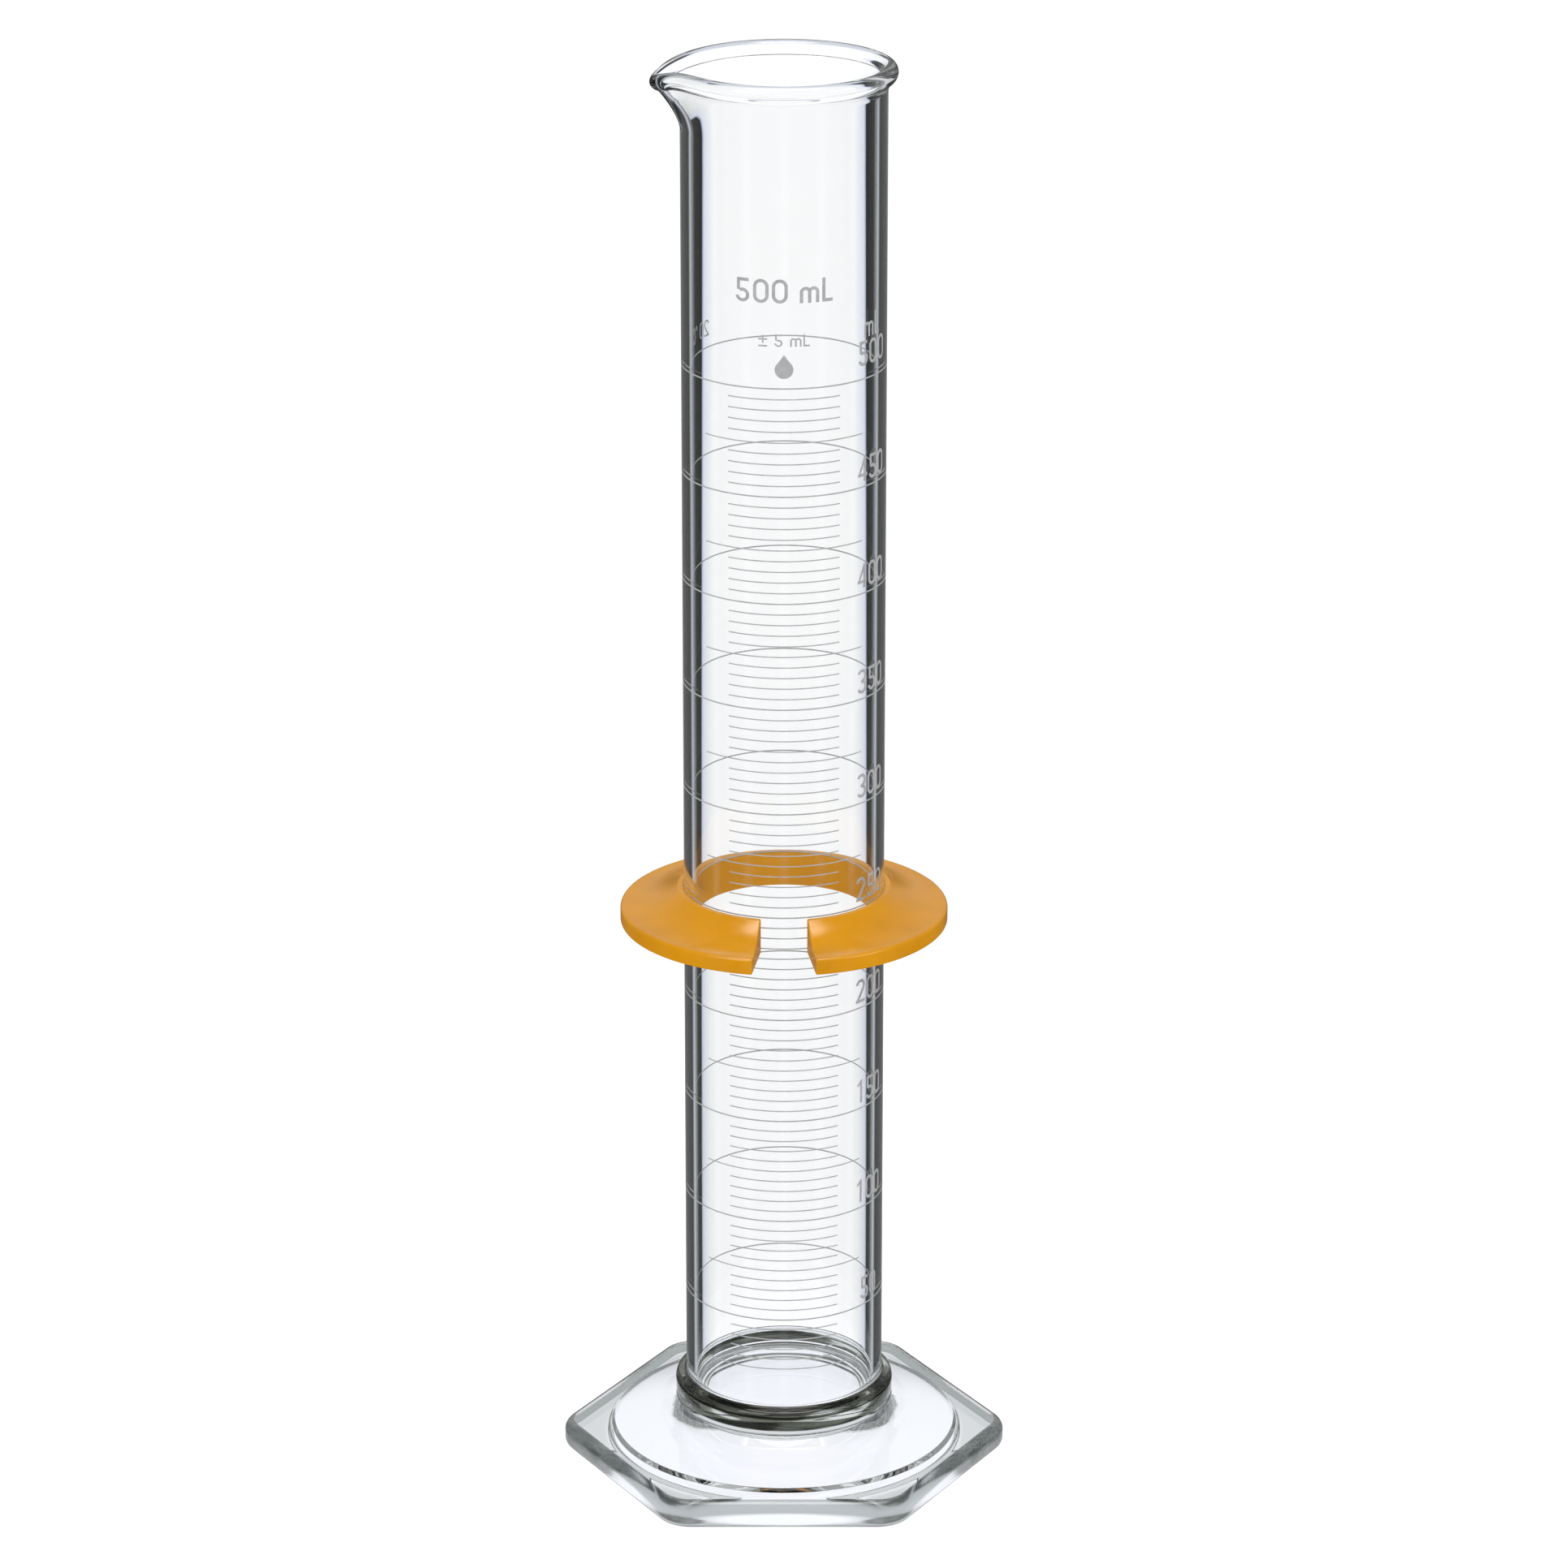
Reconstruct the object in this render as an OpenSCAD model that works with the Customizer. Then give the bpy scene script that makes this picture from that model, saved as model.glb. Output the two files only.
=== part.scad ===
// Graduated cylinder, 500 mL: a glass barrel with a beaded rim and a pour spout, fused to a
// hexagonal foot, with fired enamel graduations and a split plastic bumper guard.
// Millimetres, +Z up. The origin is on the table, on the barrel's axis. The spout points
// to -X. The graduations and the gap of the guard face -Y.

/* [Barrel] */
// Outside diameter of the tube
tube_od = 52.4; // [52:0.1:52.4]
// Wall thickness of the tube
wall = 2.5; // [2.3:0.1:2.7]
// Height of the inside floor above the table
floor_z = 20; // [19.5:0.1:21]
// Radius of the fillet between the floor and the wall
floor_fillet = 4; // [3:0.5:5]
// Overall height
total_h = 381; // [379:0.5:384]

/* [Rim and spout] */
// Outside radius of the beaded rim
rim_r = 28.75; // [28.4:0.05:29]
// Thickness of the rim's bead
rim_bead = 4.3; // [4:0.1:4.6]
// Height over which the tube flares out into the rim
flare_h = 4.5; // [4:0.5:7]
// Distance of the spout's tip from the axis
spout_reach = 33.8; // [33:0.1:35]
// Drop of the spout's tip below the rim
spout_drop = 2.65; // [2:0.05:3.5]
// Depth below the rim at which the spout leaves the tube
spout_depth = 17.4; // [16:0.1:20]
// Thickness of the spout's bead
spout_bead = 3.8; // [3.4:0.1:4]
// Radius of the spout's tip along the middle of its bead
spout_tip_r = 4.1; // [3.8:0.1:4.4]

/* [Foot] */
// Width of the hexagon across its flats
foot_af = 105; // [104:0.5:108]
// Radius of the hexagon's upright corners
corner_r = 9.9; // [9:0.1:11]
// Thickness of the foot's flange
flange_t = 8; // [7.5:0.1:9]
// Rounding of the flange's edges
edge_r = 3; // [2:0.1:3.5]
// Radius of the dome where it meets the flange
dome_r = 46.5; // [45:0.5:47]
// Height of the dome's raised edge
dome_step = 1.1; // [0.8:0.1:1.4]
// Radius at which the dome steepens towards the weld
boss_r = 33; // [32:0.5:34]
// Height of the dome there
boss_z = 14.1; // [13.8:0.1:14.4]
// Radius of the recess under the foot
recess_r = 47.4; // [46.5:0.1:48]
// Height of the recess's upright wall
recess_wall = 4.4; // [4.2:0.1:5]
// Height of the recess's flat ceiling
recess_top = 10.5; // [9.5:0.1:11]
// Radius of the flat ceiling, from which it slopes down to the wall
ceiling_r = 22; // [20:0.5:24]

/* [Weld] */
// Radius of the weld bead at its fullest
weld_r = 29; // [28.6:0.1:29.4]
// Height of the bead's middle
weld_z = 20.2; // [20:0.1:20.4]
// Height from the bead's middle to its top
weld_half = 3.6; // [3.4:0.1:3.8]
// Height of the seam between the barrel and the foot
seam_z = 17.4; // [17.2:0.1:17.8]

/* [Bumper guard] */
// Outside diameter of the guard
guard_od = 85.8; // [84:0.2:88]
// Radial clearance between the guard and the tube
guard_clearance = 0.1; // [0.08:0.01:0.1]
// Height of the guard's underside above the table
guard_z = 152.3; // [120:0.1:200]
// Height of the hub
hub_h = 9.4; // [9:0.1:10]
// Width of the flat lip on top of the hub
hub_lip = 1.5; // [1.2:0.1:2]
// Thickness of the brim at its edge
brim_t = 4.2; // [4:0.1:4.8]
// Depth of the saucer's hollow below a straight slope
saucer_dip = 1.4; // [1:0.1:1.6]
// Width of the gap at the bore
gap_inner = 11.9; // [10:0.1:13]
// Width of the gap at the outer edge
gap_outer = 16.5; // [15:0.1:18]

/* [Graduations] */
// Thickness of the fired enamel
enamel_t = 0.04; // [0.03:0.01:0.05]
// Height of a full ring's line
ring_w = 0.36; // [0.3:0.02:0.5]
// Height of the other lines
line_w = 0.3; // [0.24:0.02:0.4]
// Half the angle of a 5 mL line
minor_half = 32.5; // [28:0.5:36]
// Half the angle of a 25 mL line
middle_half = 49; // [45:0.5:52]
// Height of a numeral
numeral_h = 6.5; // [6:0.1:7]
// Width of a numeral's digit
numeral_w = 3.6; // [3.2:0.1:3.8]
// Stroke of a numeral
numeral_stroke = 0.8; // [0.6:0.05:1]
// Direction of the numerals, from -Y towards +X, in degrees
numeral_az = 59; // [56:0.5:62]

/* [Hidden] */
$fn = 96;
tube_r = tube_od / 2;
bore_r = tube_r - wall;
PER_RING = 50;
STEP_ML = 5;
FIRST_ML = 25;
MAJORS = [50:PER_RING:500];

// volume lost to the floor's fillet, and the height of a given fill
fillet_area = floor_fillet * floor_fillet * (1 - PI / 4);
fillet_centre = bore_r - 0.223 * floor_fillet;
fillet_loss = fillet_area * 2 * PI * fillet_centre;
function fill_z(ml) = floor_z + (ml * 1000 + fillet_loss) / (PI * bore_r * bore_r);
function pad3(ml) = ml < 100 ? str("0", ml) : str(ml);

// rim and spout
rim_bead_r = rim_bead / 2;
rim_mid_r = rim_r - rim_bead_r;
rim_mid_z = total_h - rim_bead_r;
flare_z = rim_mid_z - flare_h;
mouth_r = rim_mid_r - rim_bead_r + 0.05;
spout_bead_r = spout_bead / 2;
spout_outer_r = spout_tip_r + spout_bead_r;
spout_wall = wall - 0.2;
tip_x = spout_reach - spout_outer_r;
tip_z = rim_mid_z - spout_drop;
spout_half = acos((rim_mid_r - spout_tip_r) / tip_x);
mid_wall_r = bore_r + wall / 2;
spout_root_z = total_h - spout_depth;

// weld bead: an arc through its fullest radius and the tube's surface
weld_bulge = weld_r - tube_r;
weld_arc_r = (weld_half * weld_half + weld_bulge * weld_bulge) / (2 * weld_bulge);
weld_arc_x = weld_r - weld_arc_r;

// foot: distance of a corner's centre from the axis
core_r = (foot_af / 2 - corner_r) / cos(30);

// guard: centre and radius of the saucer's hollow
guard_r = guard_od / 2;
guard_bore_r = tube_r + guard_clearance;
brim_edge_r = 1.2;
saucer_out = [guard_r - brim_edge_r, brim_t];
saucer_in = [guard_bore_r + hub_lip, hub_h];
saucer_chord = norm(saucer_out - saucer_in);
saucer_r = (saucer_chord * saucer_chord / 4 + saucer_dip * saucer_dip) / (2 * saucer_dip);
saucer_dir = (saucer_out - saucer_in) / saucer_chord;
saucer_up = [-saucer_dir[1], saucer_dir[0]];
saucer_centre = (saucer_out + saucer_in) / 2 + saucer_up * (saucer_r - saucer_dip);

// ---- barrel ----

// half-section of the tube with the weld bead, the flare and the beaded rim, solid
module tube_section() {
    polygon([
        [0, seam_z],
        [tube_r, seam_z],
        [tube_r, flare_z],
        [tube_r + 0.4, flare_z + 0.45 * flare_h],
        [rim_r - 0.35, rim_mid_z - 1],
        [rim_mid_r, rim_mid_z],
        [0, rim_mid_z]]);
    translate([rim_mid_r, rim_mid_z]) circle(r = rim_bead_r);
    intersection() {
        translate([weld_arc_x, weld_z]) circle(r = weld_arc_r);
        translate([0, seam_z]) square([weld_r + 1, 2 * weld_half]);
    }
}

// half-section of the hollow: a rounded floor, a straight bore and a slightly flared mouth
module bore_section() {
    translate([0, floor_z + floor_fillet]) square([bore_r, flare_z - floor_z - floor_fillet]);
    translate([0, floor_z]) square([bore_r - floor_fillet, floor_fillet + 1]);
    intersection() {
        translate([bore_r - floor_fillet, floor_z + floor_fillet]) circle(r = floor_fillet);
        translate([0, floor_z]) square([bore_r, floor_fillet]);
    }
    polygon([[0, flare_z - 1], [bore_r, flare_z - 1], [bore_r, flare_z],
             [mouth_r, rim_mid_z], [mouth_r, total_h + 1], [0, total_h + 1]]);
}

// tapered body that spreads the tube's wall out to the tip; inset is its distance inside it
module spout_body(inset, root_z, top_z, tip_low, tip_high) {
    hull() {
        translate([0, 0, root_z])
            cylinder(r = mid_wall_r - inset, h = top_z - root_z, $fn = 64);
        translate([-tip_x, 0, tip_low])
            cylinder(r = spout_outer_r - inset, h = tip_high - tip_low, $fn = 40);
    }
}

// wedge that clears the rim away across the spout's mouth
module spout_gate() {
    far = 2 * rim_r;
    translate([0, 0, flare_z - 0.5])
        linear_extrude(total_h)
            polygon([[0, 0], far * [-cos(spout_half), sin(spout_half)],
                     [-far, 0], far * [-cos(spout_half), -sin(spout_half)]]);
}

module barrel() {
    color([0.86, 0.93, 0.95, 0.35])
        difference() {
            union() {
                difference() {
                    rotate_extrude() tube_section();
                    spout_gate();
                }
                spout_body(0, spout_root_z, rim_mid_z, tip_z - spout_bead_r, tip_z + spout_bead_r);
            }
            rotate_extrude() bore_section();
            spout_body(spout_wall, spout_root_z + 1.5, total_h + 6, tip_z - 1, total_h + 6);
        }
}

// ---- foot ----

// round disc with rounded edges, one to each corner of the hexagon
module flange_corner() {
    rotate_extrude($fn = 36) {
        square([corner_r - edge_r, flange_t]);
        translate([0, edge_r]) square([corner_r, flange_t - 2 * edge_r]);
        for (z = [edge_r, flange_t - edge_r]) intersection() {
            translate([corner_r - edge_r, z]) circle(r = edge_r, $fn = 20);
            square([corner_r, flange_t]);
        }
    }
}

module flange() {
    hull()
        for (k = [0:5]) rotate([0, 0, 60 * k])
            translate([core_r, 0, 0]) flange_corner();
}

// half-section of the dome and the boss that the bead sits on
module dome_section() {
    polygon([
        [0, recess_wall + 1],
        [dome_r, recess_wall + 1],
        [dome_r, flange_t],
        [dome_r - 0.3, flange_t + 0.7],
        [dome_r - 0.9, flange_t + dome_step],
        [boss_r, boss_z],
        [weld_r, seam_z - 1.1],
        [weld_r - 0.5, seam_z],
        [0, seam_z]]);
}

module recess_section() {
    polygon([
        [0, -1],
        [recess_r, -1],
        [recess_r, recess_wall - 0.8],
        [recess_r - 0.8, recess_wall],
        [ceiling_r, recess_top],
        [0, recess_top]]);
}

module foot() {
    color([0.82, 0.88, 0.88, 0.5])
        difference() {
            union() {
                flange();
                rotate_extrude() dome_section();
            }
            rotate_extrude() recess_section();
        }
}

// ---- bumper guard ----

module guard_section() {
    difference() {
        union() {
            polygon([
                [guard_bore_r, 0],
                [guard_r - 0.5, 0],
                [guard_r, 0.5],
                [guard_r, brim_t - brim_edge_r],
                saucer_out,
                saucer_in - [0, 0.4],
                saucer_in - [0.4, 0],
                [guard_bore_r + 0.3, hub_h],
                [guard_bore_r, hub_h - 0.3]]);
            translate(saucer_out - [0, brim_edge_r]) circle(r = brim_edge_r);
        }
        translate(saucer_centre) circle(r = saucer_r, $fn = 256);
    }
}

module bumper_guard() {
    spread = (gap_outer - gap_inner) / 2 / (guard_r - guard_bore_r);
    near = tube_r / 2;
    far = guard_r + 5;
    near_w = gap_inner / 2 - spread * (guard_bore_r - near);
    far_w = gap_inner / 2 + spread * (far - guard_bore_r);
    color("goldenrod")
        translate([0, 0, guard_z])
            difference() {
                rotate_extrude() guard_section();
                translate([0, 0, -1]) linear_extrude(hub_h + 2)
                    polygon([[-near_w, -near], [-far_w, -far], [far_w, -far], [near_w, -near]]);
            }
}

// ---- enamel ----

module enamel() {
    color([0.66, 0.67, 0.68]) children();
}

// line on the tube's surface, centred on -Y, reaching half an angle to each side
module line_mark(z, half, w) {
    translate([0, 0, z - w / 2])
        rotate([0, 0, -90 - half])
            rotate_extrude(angle = 2 * half) translate([tube_r, 0]) square([enamel_t, w]);
}

module ring_mark(ml) {
    enamel()
        translate([0, 0, fill_z(ml) - ring_w / 2])
            rotate_extrude() translate([tube_r, 0]) square([enamel_t, ring_w]);
}

// the lines between one ring and the ring below it
module fine_lines(ml) {
    enamel()
        for (v = [max(FIRST_ML, ml - PER_RING + STEP_ML):STEP_ML:ml - STEP_ML])
            line_mark(fill_z(v), v % FIRST_ML == 0 ? middle_half : minor_half, line_w);
}

// ring sector of radius r along its middle, from angle a to angle b
module arc_stroke(r, a, b, s) {
    far = 3 * r;
    third = (b - a) / 3;
    intersection() {
        difference() {
            circle(r = r + s / 2);
            circle(r = r - s / 2);
        }
        polygon(concat([[0, 0]], [for (k = [0:3]) far * [cos(a + k * third), sin(a + k * third)]]));
    }
}

// upright oval ring, a rectangle between two half circles
module oval_stroke(w, h, s) {
    difference() {
        oval(w, h);
        translate([s, s]) oval(w - 2 * s, h - 2 * s);
    }
}

module oval(w, h) {
    translate([w / 2, w / 2]) circle(d = w);
    translate([w / 2, h - w / 2]) circle(d = w);
    translate([0, w / 2]) square([w, h - w]);
}

// straight stroke between two points
module slant(p, q, s) {
    side = s / 2 / norm(q - p) * [p[1] - q[1], q[0] - p[0]];
    polygon([p + side, q + side, q - side, p - side]);
}

// one character on a cell w wide and h high, with a stroke of s
module glyph(c, w, h, s) {
    r = (w - s) / 2;
    bowl = 0.5 * (0.58 * h - s);
    if (c == "0") oval_stroke(w, h, s);
    if (c == "1") {
        translate([w / 2, 0]) square([s, h]);
        slant([w / 2 - 0.28 * w, h - 0.24 * h], [w / 2 + s / 2, h - s / 2], 0.8 * s);
    }
    if (c == "2") {
        translate([w / 2, h - w / 2]) arc_stroke(r, -25, 170, s);
        slant([s * 0.6, s / 2], [w / 2 + r * cos(25), h - w / 2 - r * sin(25)], s);
        square([w, s]);
    }
    if (c == "3") {
        translate([w / 2, h - w / 2 + 0.1 * s]) arc_stroke(r - 0.05 * s, -80, 155, s);
        translate([w / 2, w / 2]) arc_stroke(r, -155, 80, s);
        translate([0.42 * w, h / 2 - s / 2]) square([0.25 * w, s]);
    }
    if (c == "4") {
        translate([0.6 * w, 0]) square([s, h]);
        translate([0, 0.2 * h]) square([w, s]);
        slant([s * 0.45, 0.2 * h + s * 0.3], [0.6 * w + s * 0.5, h - s * 0.4], 0.85 * s);
    }
    if (c == "5") {
        translate([0.12 * w, h - s]) square([0.8 * w, s]);
        translate([0.12 * w, 0.5 * h]) square([s, 0.5 * h]);
        translate([w / 2, bowl + s / 2]) arc_stroke(bowl, -90, 125, s);
        translate([w / 2, r + s / 2]) arc_stroke(r, -165, -85, s);
    }
    if (c == "m") {
        for (k = [0:2]) translate([k * (w - s) / 2, 0]) square([s, 0.44 * h]);
        for (k = [0, 1]) translate([s / 2 + (w - s) / 4 + k * (w - s) / 2, 0.44 * h])
            arc_stroke((w - s) / 4, 0, 180, s);
    }
    if (c == "L") {
        square([s, h]);
        square([w, s]);
    }
    if (c == "C") difference() {
        oval_stroke(w, h, s);
        translate([w / 2, 0.3 * h]) square([w, 0.4 * h]);
    }
    if (c == "o") translate([w / 2, h - w * 0.35]) arc_stroke(0.26 * w, 0, 359.9, 0.7 * s);
    if (c == "+") {
        translate([w / 2 - s / 2, 0.28 * h]) square([s, 0.66 * h]);
        translate([0, 0.61 * h - s / 2]) square([w, s]);
        square([w, s]);
    }
}

// width of a character's cell, as a share of a digit's
function cell(c) = c == "m" ? 1.25 : c == "L" ? 0.72 : c == "C" ? 0.95 : c == "o" ? 0.7 : c == " " ? 0.35 : 1;
GLYPH_GAP = 0.2;
function advance(s, n) = n == 0 ? 0 : advance(s, n - 1) + cell(s[n - 1]) + GLYPH_GAP;

// characters laid round the tube: az is the middle's direction, z the baseline
module lettering(chars, az, z, w, h, s) {
    total = advance(chars, len(chars)) - GLYPH_GAP;
    intersection() {
        for (i = [0:len(chars) - 1]) if (chars[i] != " ") {
            mid = (advance(chars, i) + cell(chars[i]) / 2 - total / 2) * w;
            rotate([0, 0, az + mid / tube_r * 180 / PI])
                translate([-cell(chars[i]) * w / 2, 0, z])
                    rotate([90, 0, 0])
                        translate([0, 0, tube_r - 2]) linear_extrude(4)
                            glyph(chars[i], cell(chars[i]) * w, h, s);
        }
        translate([0, 0, z - 1])
            rotate_extrude() translate([tube_r, 0]) square([enamel_t, h + 2]);
    }
}

// the top numeral sits higher above its ring than the others
module numeral(ml) {
    baseline = fill_z(ml) + (ml == 500 ? 3.4 : 1.45);
    enamel()
        lettering(str(ml), numeral_az, baseline, numeral_w, numeral_h, numeral_stroke);
}

module unit_mark() {
    enamel() lettering("mL", numeral_az - 1, fill_z(500) + 10.7, 3.2, 6.1, 0.7);
}

module capacity_mark() {
    enamel() lettering("500 mL", 0, fill_z(500) + 22.1, 4, 6.2, 0.85);
}

module tolerance_mark() {
    enamel() lettering("+ 5 mL", 0, fill_z(500) + 10.9, 2.3, 3.2, 0.42);
}

// the temperature of calibration, on the back, to the left of the spout's far side
module temperature_mark() {
    enamel() lettering("20 oC", -112, fill_z(500) + 3, 2.6, 4.4, 0.5);
}

// bold drop under the lettering
module drop_mark() {
    drop_r = 2.35;
    drop_h = 6.2;
    touch = asin(drop_r / (drop_h - drop_r));
    waist = 0.97 * drop_r * [cos(touch), sin(touch)];
    enamel() intersection() {
        translate([0, 0, fill_z(500) + 2.6])
            rotate([90, 0, 0]) translate([0, 0, tube_r - 2]) linear_extrude(4) {
                translate([0, drop_r]) circle(r = drop_r);
                translate([0, drop_r]) polygon([
                    [0, drop_h - drop_r],
                    [-waist[0], waist[1]],
                    [0, 0],
                    [waist[0], waist[1]]]);
            }
        translate([0, 0, fill_z(500) + 1])
            rotate_extrude() translate([tube_r, 0]) square([enamel_t, drop_h + 4]);
    }
}

barrel();
foot();
bumper_guard();
for (ml = MAJORS) {
    ring_mark(ml);
    fine_lines(ml);
    numeral(ml);
}
unit_mark();
capacity_mark();
tolerance_mark();
drop_mark();
temperature_mark();
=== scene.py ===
"""Looks of the 500 mL graduated cylinder: clear fused glass, fired enamel marks, yellow bumper guard."""

import math

import bmesh
import bpy
import numpy as np
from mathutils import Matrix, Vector


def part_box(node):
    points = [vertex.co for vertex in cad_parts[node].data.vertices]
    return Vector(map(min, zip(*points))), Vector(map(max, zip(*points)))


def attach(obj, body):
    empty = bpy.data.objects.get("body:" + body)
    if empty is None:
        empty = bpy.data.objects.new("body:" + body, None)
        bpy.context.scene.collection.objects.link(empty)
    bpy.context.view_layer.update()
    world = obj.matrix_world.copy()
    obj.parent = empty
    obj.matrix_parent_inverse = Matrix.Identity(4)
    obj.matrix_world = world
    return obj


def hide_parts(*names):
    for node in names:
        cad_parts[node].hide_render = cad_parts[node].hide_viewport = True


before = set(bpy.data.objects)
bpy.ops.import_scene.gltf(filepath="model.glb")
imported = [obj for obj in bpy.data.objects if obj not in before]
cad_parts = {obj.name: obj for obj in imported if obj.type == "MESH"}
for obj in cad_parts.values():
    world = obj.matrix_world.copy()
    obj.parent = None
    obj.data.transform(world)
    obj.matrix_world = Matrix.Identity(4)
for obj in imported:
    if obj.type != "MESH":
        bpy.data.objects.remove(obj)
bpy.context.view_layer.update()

MM = 0.001

# ---- boxes of the frame, in metres ----

BARREL_LOW, BARREL_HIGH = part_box("barrel")
FOOT_LOW, FOOT_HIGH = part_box("foot")
GUARD_LOW, GUARD_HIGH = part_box("bumper_guard")

# ---- barrel, in millimetres ----

ENAMEL_T = 0.04
TUBE_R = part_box("ring_500")[1].x / MM - ENAMEL_T
WALL = 2.5
BORE_R = TUBE_R - WALL
SKIN_R = TUBE_R + 0.01  # the glass reaches this far into the enamel's underside
TOTAL_H = BARREL_HIGH.z / MM
FLOOR_Z = 20.0
FLOOR_FILLET = 4.0
STRAIGHT_LOW_Z = 30.0  # a height on the straight wall, above the floor's fillet and the weld
STRAIGHT_TOP_Z = 350.0  # and one just under the lip
LIP_BASE_Z = 352.0

# ---- rim and spout ----

RIM_R = 28.75
RIM_BEAD_R = 2.15
RIM_MID_R = RIM_R - RIM_BEAD_R
RIM_MID_Z = TOTAL_H - RIM_BEAD_R
FLARE_H = 4.6
BEAD_BLEND = 0.16  # how softly the wall swells into the bead
SPOUT_BEAD_R = 1.9
SPOUT_MID = -BARREL_LOW.x / MM - SPOUT_BEAD_R
SPOUT_DROP = 2.65
SPOUT_ROOT_Z = 364.6
SPOUT_SPREAD = math.radians(18)
SPOUT_DIP_SPREAD = math.radians(13)
SPOUT_TIP_SOFTNESS = math.radians(1.8)
SPOUT_POWER = 1.6
SPOUT_RISE_POWER = 1.5

# ---- weld bead and the seam under it ----

WELD_R = 29.0
WELD_TOP = 23.6
WELD_SHOULDER = 1.3
SEAM_R = 28.5
SEAM_MID_R = 16.5  # of the ring of points inside the seam's face
SEAM_Z = BARREL_LOW.z / MM

# ---- foot ----

FOOT_AF = (FOOT_HIGH.y - FOOT_LOW.y) / MM
CORNER_R = 9.9
FLANGE_T = 8.0
EDGE_R = 3.0
COVE_OUT, COVE_DROP = 0.3, 1.1  # the step from the seam down to the boss
BOSS_R, BOSS_Z = 33.0, 14.1
DOME_R = 46.5
DOME_STEP, DOME_STEP_OUT = 1.1, 0.9
RECESS_R = 47.4
RECESS_WALL = 4.4
RECESS_TOP = 10.5
CEILING_R = 22.0
PAST_CORNER = 0.6  # where the flat beside a rounded corner has its first ring

# ---- guard ----

GUARD_R = GUARD_HIGH.x / MM
GUARD_Z = GUARD_LOW.z / MM
GUARD_BORE_R = TUBE_R + 0.1
HUB_H = (GUARD_HIGH.z - GUARD_LOW.z) / MM
HUB_LIP = 1.5
BRIM_T = 4.2
BRIM_CROWN = 0.15  # the brim's edge stands this far above the saucer's end
BRIM_EDGE = 0.9  # and is this wide
SAUCER_DIP = 1.4
GAP_INNER = 11.9
GAP_OUTER = 16.5
GAP_EDGE_R = 0.35

# ---- how finely each shape is divided ----

BARREL_COLUMNS = 320
COLUMN_CROWDING = 0.65
LIP_LOW_ROWS = 26
LIP_TOP_ROWS = 44
LIP_TOP_SHARE = 0.2  # of the lip's height, where its rows are closest
CAP_ROWS = 12
CORNER_STEPS = 22
FLAT_STEPS = 18
EDGE_STEPS = 8
SAUCER_STEPS = 15
GUARD_COLUMNS = 200
GAP_EDGE_STEPS = 4

# ---- camera, in metres ----

CAMERA_BACK = 1.5496
CAMERA_HEIGHT = 0.7367
CAMERA_PITCH = math.radians(19.4508)
CAMERA_LENS = 144.877

# ---- materials: each glass piece has these three, in this order ----

# the third is glass whose tint is painted shade
CLEAR, FUSED, PAINTED_SHADE = 0, 1, 2
GLASS_IOR = 1.474

# ---- studio: strengths of its parts, and what the glass sees of it ----

PANEL_PITCH = math.pi / 4
PANEL_HALF = math.radians(9.7)
PANEL_LOW_EXTRA = math.radians(4.6)  # a panel's half is this much wider low down
PANEL_LIGHT = 1.12
DARK = (0.017, 0.018, 0.019)
STRAY_LIGHT = 0.1
TANGLED_LIGHT = 0.34
SKY_LIGHT = 0.85
OVERHEAD_LIGHT = 0.10
UNDERFOOT_LIGHT = 0.85
GLINT_LIGHT = 7.0
FLOOR_RADIUS = 3.0
TABLE_RADIUS = 0.066
TABLE_RAMP = 0.1  # metres from the axis that the table's colour ramp covers
SHADE_BLEND = 2.0  # millimetres over which its white turns to shade
UNDER = -0.0004
SOFTBOXES = [  # name, place, size and watts
    ("key_light", (-0.9, -1.1, 1.5), 0.9, 9.0),
    ("fill_light", (1.2, -0.6, 1.1), 0.7, 4.0),
]


# ---- mesh helpers ----


def fillet_path(corners, steps=8, hold=0.15):
    """Polyline through (r, z, radius) corners, each one rounded.

    A long straight has a further point near each of its ends, which keeps it flat when shaded smooth."""
    path = []
    for k, (r, z, radius) in enumerate(corners):
        here = np.array([r, z], float)
        if radius == 0 or k in (0, len(corners) - 1):
            path.append(here)
            continue
        back = np.array(corners[k - 1][:2], float) - here
        ahead = np.array(corners[k + 1][:2], float) - here
        back_len, ahead_len = np.linalg.norm(back), np.linalg.norm(ahead)
        back, ahead = back / back_len, ahead / ahead_len
        half = math.acos(max(-1.0, min(1.0, float(back @ ahead)))) / 2
        tangent = min(radius / math.tan(half), 0.49 * back_len, 0.49 * ahead_len)
        radius = tangent * math.tan(half)
        bisector = (back + ahead) / np.linalg.norm(back + ahead)
        centre = here + bisector * radius / math.sin(half)
        start, end = here + back * tangent, here + ahead * tangent
        if back_len > 2 * (tangent + hold):
            path.append(start + back * hold)
        a0, a1 = start - centre, end - centre
        turn = math.acos(max(-1.0, min(1.0, float(a0 @ a1) / radius**2)))
        for i in range(steps + 1):
            t = i / steps
            mix = (math.sin((1 - t) * turn) * a0 + math.sin(t * turn) * a1) / math.sin(turn)
            path.append(centre + mix)
        if ahead_len > 2 * (tangent + hold):
            path.append(end + ahead * hold)
    return path


def pole(z):
    """Ring of one point, on the axis."""
    return [np.array([0, 0, z])]


def ring(radius, z, azimuths):
    """Points of a level circle."""
    return np.stack(
        [radius * np.cos(azimuths), radius * np.sin(azimuths), np.full(len(azimuths), z)], 1
    )


def rings_of(path, azimuths):
    return [ring(r, z, azimuths) for r, z in path]


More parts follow.
